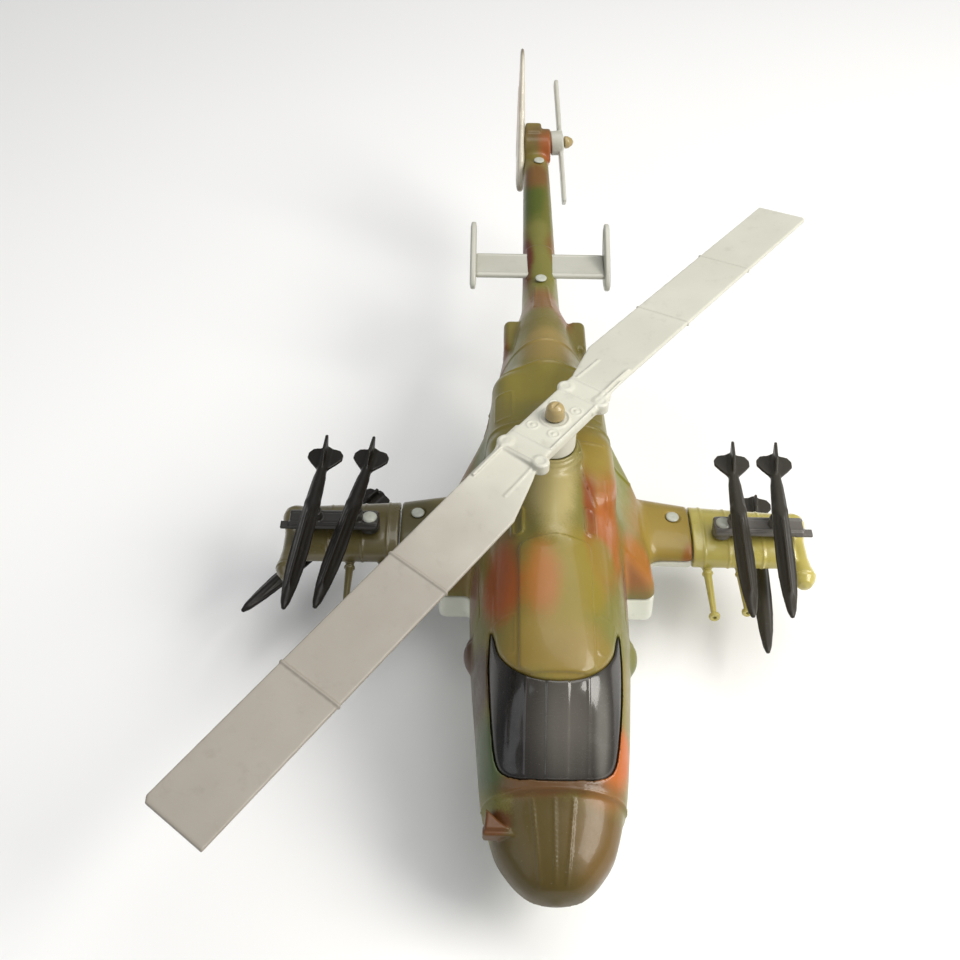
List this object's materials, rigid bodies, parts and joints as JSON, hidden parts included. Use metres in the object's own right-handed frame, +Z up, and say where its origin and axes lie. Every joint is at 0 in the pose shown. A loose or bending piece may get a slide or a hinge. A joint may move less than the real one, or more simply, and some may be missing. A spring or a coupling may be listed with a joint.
{
  "type": "toy helicopter",
  "caption": "Plastic toy attack helicopter with a spinning two-blade rotor, tail rotor, stub wings, swivelling missiles and rolling wheels.",
  "frame": {"origin": "on the flat of the belly, under the main rotor axis", "axes": "nose towards -Y, tail towards +Y, +Z up along the main rotor axis"},
  "size_m": [0.2408, 0.4437, 0.1165],
  "materials": {
    "camouflage_plastic": "glossy olive plastic with airbrushed orange and green camouflage",
    "white_plastic": "glossy cream-white plastic",
    "rotor_white": "satin cream-white polyethylene",
    "fin_plastic": "white plastic with an oversprayed olive top and dark lower tip",
    "smoked_glazing": "glossy smoked dark plastic",
    "olive_plastic": "satin olive plastic",
    "wing_olive": "glossy yellow-olive plastic",
    "black_plastic": "soft satin charcoal plastic",
    "peg_white": "satin white plastic, heat-staked",
    "axle_steel": "drawn steel wire",
    "wheel_black": "matt black plastic"
  },
  "bodies": {
    "airframe": {"upper_fuselage": "camouflage_plastic", "lower_fuselage": "white_plastic", "windscreen": "smoked_glazing", "rotor_pin": "olive_plastic", "tail_rotor_pin": "olive_plastic", "tail_fin": "fin_plastic", "stabiliser": "rotor_white", "end_plate_right": "rotor_white", "end_plate_left": "rotor_white", "wing_right": "wing_olive", "wing_left": "wing_olive", "rack_right": "black_plastic", "rack_left": "black_plastic", "rack_pin_right": "peg_white", "rack_pin_left": "peg_white", "boom_peg": "peg_white", "tail_peg": "peg_white", "wing_peg_right": "peg_white", "wing_peg_left": "peg_white", "main_axle": "axle_steel", "nose_axle": "axle_steel"},
    "main_rotor_body": {"main_rotor": "rotor_white"},
    "tail_rotor_body": {"tail_rotor": "rotor_white"},
    "main_wheel_right_body": {"main_wheel_right": "wheel_black"},
    "main_wheel_left_body": {"main_wheel_left": "wheel_black"},
    "nose_wheel_body": {"nose_wheel": "wheel_black"},
    "missile_left_outer_body": {"missile_left_outer": "black_plastic"},
    "missile_left_inner_body": {"missile_left_inner": "black_plastic"},
    "missile_right_inner_body": {"missile_right_inner": "black_plastic"},
    "missile_right_outer_body": {"missile_right_outer": "black_plastic"},
    "missile_left_lower_body": {"missile_left_lower": "black_plastic"},
    "missile_right_lower_body": {"missile_right_lower": "black_plastic"}
  },
  "joints": [
    {"name": "main_rotor_spin", "type": "hinge", "parent": "airframe", "child": "main_rotor_body", "pos_m": [0, 0, 0.095], "axis": [0, 0, 1], "continuous": true},
    {"name": "tail_rotor_spin", "type": "hinge", "parent": "airframe", "child": "tail_rotor_body", "pos_m": [0.0066, 0.2515, 0.0625], "axis": [0.9962, 0.0616, 0.0616], "continuous": true},
    {"name": "main_wheel_right_roll", "type": "hinge", "parent": "airframe", "child": "main_wheel_right_body", "pos_m": [0.0305, 0.012, -0.004], "axis": [1, 0, 0], "continuous": true},
    {"name": "main_wheel_left_roll", "type": "hinge", "parent": "airframe", "child": "main_wheel_left_body", "pos_m": [-0.0305, 0.012, -0.004], "axis": [1, 0, 0], "continuous": true},
    {"name": "nose_wheel_roll", "type": "hinge", "parent": "airframe", "child": "nose_wheel_body", "pos_m": [0, -0.096, -0.0075], "axis": [1, 0, 0], "continuous": true},
    {"name": "missile_left_outer_swivel", "type": "hinge", "parent": "airframe", "child": "missile_left_outer_body", "pos_m": [-0.0912, 0.003, 0.0465], "axis": [0, 0, 1], "range_deg": [-4, 2]},
    {"name": "missile_left_inner_swivel", "type": "hinge", "parent": "airframe", "child": "missile_left_inner_body", "pos_m": [-0.0752, 0.003, 0.0465], "axis": [0, 0, 1], "range_deg": [-2, 4]},
    {"name": "missile_right_inner_swivel", "type": "hinge", "parent": "airframe", "child": "missile_right_inner_body", "pos_m": [0.0741, 0.003, 0.0465], "axis": [0, 0, 1], "range_deg": [-2, 4]},
    {"name": "missile_right_outer_swivel", "type": "hinge", "parent": "airframe", "child": "missile_right_outer_body", "pos_m": [0.0902, 0.003, 0.0465], "axis": [0, 0, 1], "range_deg": [-4, 2]},
    {"name": "missile_left_lower_swivel", "type": "hinge", "parent": "airframe", "child": "missile_left_lower_body", "pos_m": [-0.0904, 0.017, 0.0095], "axis": [0, 0, 1], "range_deg": [-35, 75]},
    {"name": "missile_right_lower_swivel", "type": "hinge", "parent": "airframe", "child": "missile_right_lower_body", "pos_m": [0.0904, 0.017, 0.0095], "axis": [0, 0, 1], "range_deg": [-35, 75]}
  ]
}
